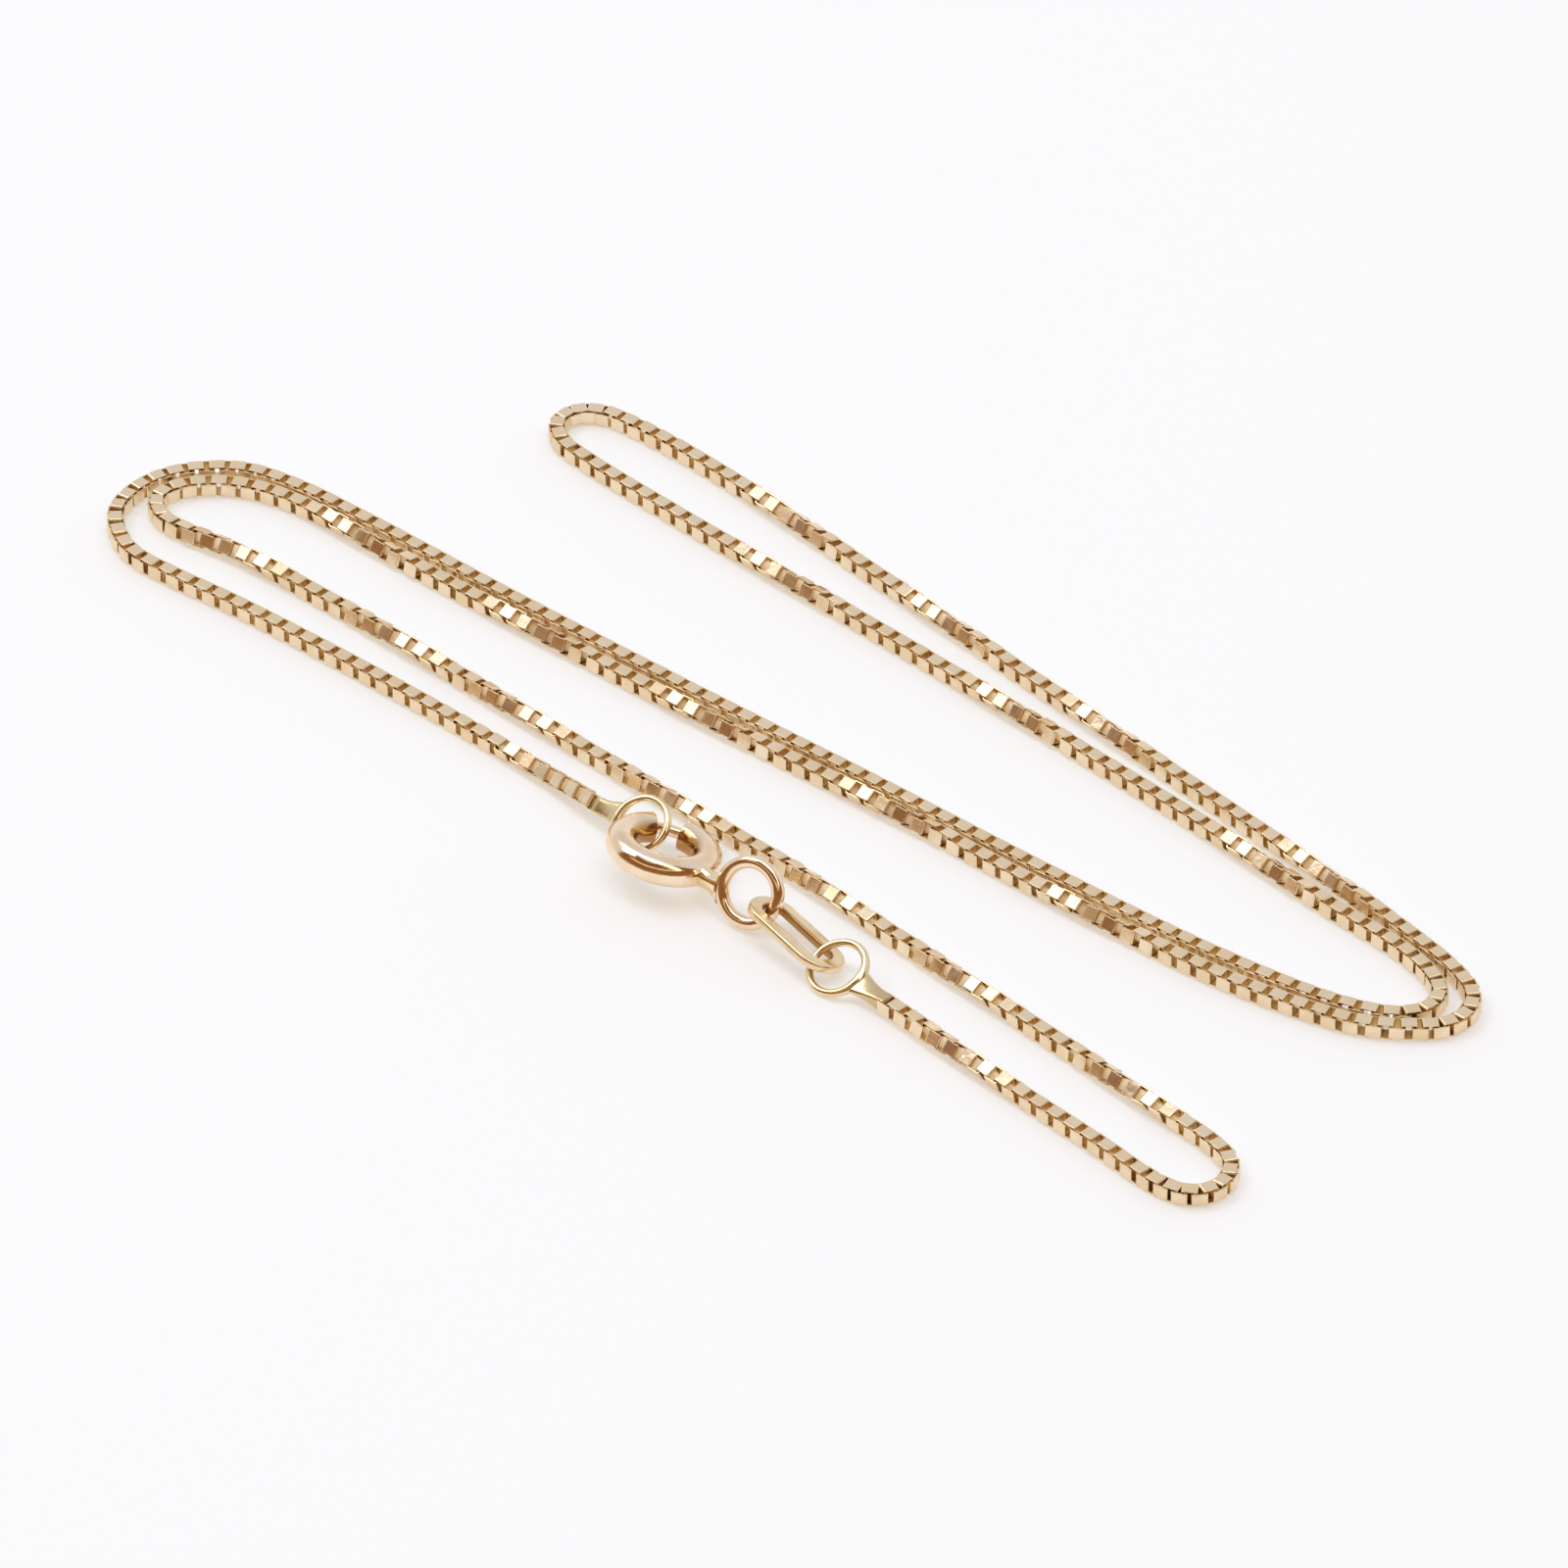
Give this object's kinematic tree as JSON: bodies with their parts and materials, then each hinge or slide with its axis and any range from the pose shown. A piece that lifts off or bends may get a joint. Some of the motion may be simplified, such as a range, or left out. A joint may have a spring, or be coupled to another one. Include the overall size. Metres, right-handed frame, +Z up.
{
  "type": "box chain necklace",
  "caption": "Closed gold box chain necklace with spring ring clasp and flat tag link, lying folded flat.",
  "frame": {"origin": "middle of the folded necklace's footprint, on the surface it lies on", "axes": "+X along the long strands, +Y across them away from the clasp, +Z up"},
  "size_m": [0.08, 0.0306, 0.0035],
  "materials": {
    "gold_chain": "polished yellow gold",
    "gold_clasp": "polished yellow gold, slightly pinker",
    "gold_solder": "polished yellow gold with solder"
  },
  "bodies": {
    "necklace": {"chain": "gold_chain", "end_ring_start": "gold_solder", "end_ring_finish": "gold_solder", "clasp_case": "gold_clasp", "tag_link": "gold_chain"},
    "bolt": {"clasp_bolt": "gold_clasp"}
  },
  "joints": [
    {"name": "bolt_slide", "type": "hinge", "parent": "necklace", "child": "bolt", "pos_m": [0.00177, -0.01185, 0.00148], "axis": [-0.0566, -0.2885, -0.9558], "range_deg": [0, 45], "stiffness_Nm_per_rad": 0.001, "springref_deg": -11.46}
  ]
}
